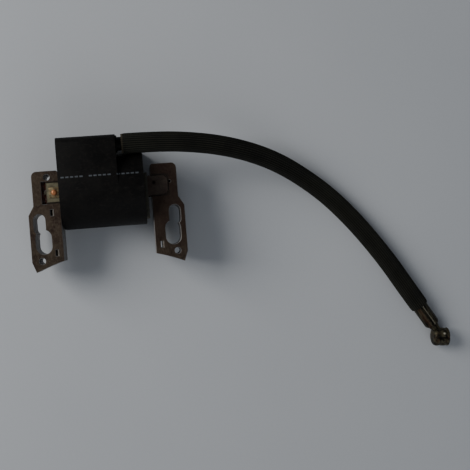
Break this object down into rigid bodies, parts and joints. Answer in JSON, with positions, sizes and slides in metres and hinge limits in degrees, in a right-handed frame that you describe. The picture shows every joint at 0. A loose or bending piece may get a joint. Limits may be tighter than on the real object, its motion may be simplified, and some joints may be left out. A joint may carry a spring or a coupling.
{
  "type": "ignition coil",
  "caption": "Magneto ignition coil: two slotted laminated pole legs on a core bar, a moulded black shell with a lead tower, and a sleeved high-tension lead ending in a push-fit plug clip.",
  "frame": {"origin": "on the surface that the coil lies on, under the middle of the coil without its lead", "axes": "+X from the left pole leg to the right one, +Y from the pole faces towards the lead tower, +Z out of the shell's rounded front"},
  "size_m": [0.1831, 0.1056, 0.0294],
  "materials": {
    "lamination_steel": "oxidised electrical steel, brown-grey",
    "bar_steel": "oxidised electrical steel with an olive-tan film",
    "shell_plastic": "satin black moulding",
    "potting_resin": "cast black epoxy, slightly glossy",
    "bobbin_plastic": "dark moulded plastic",
    "winding_copper": "enamelled copper wire",
    "circuit_board": "glass-epoxy board",
    "component_epoxy": "moulded black epoxy",
    "core_steel": "soft iron pin",
    "resistor_body": "lacquered ceramic",
    "copper_tag": "bare copper, tarnished",
    "solder": "dull solder with copper showing",
    "tinned_blade": "tinned brass",
    "output_brass": "brass",
    "seal_rubber": "soft black rubber",
    "braided_sleeve": "varnished olive-black braid",
    "lead_insulation": "olive-black rubber",
    "lead_strands": "bare copper strands",
    "terminal_metal": "tarnished tin-plated brass",
    "spring_steel": "spring steel"
  },
  "bodies": {
    "root": {"left_pole_laminations": "lamination_steel", "right_pole_laminations": "lamination_steel", "center_bar_laminations": "bar_steel", "coil_shell": "shell_plastic", "potting_resin": "potting_resin", "primary_bobbin": "bobbin_plastic", "primary_winding": "winding_copper", "secondary_bobbin": "bobbin_plastic", "secondary_winding": "winding_copper", "circuit_board": "circuit_board", "switching_transistor": "component_epoxy", "trigger_coil": "winding_copper", "trigger_core": "core_steel", "bias_resistor": "resistor_body", "trigger_resistor": "resistor_body", "clamp_diode": "component_epoxy", "ground_tag": "copper_tag", "ground_solder": "solder", "stop_terminal": "tinned_blade", "hv_output_pin": "output_brass", "lead_seal": "seal_rubber", "lead_sleeve": "braided_sleeve", "hv_lead_insulation": "lead_insulation", "hv_lead_conductor": "lead_strands", "terminal_barrel": "terminal_metal", "terminal_clip": "terminal_metal", "clip_spring": "spring_steel"}
  },
  "joints": []
}
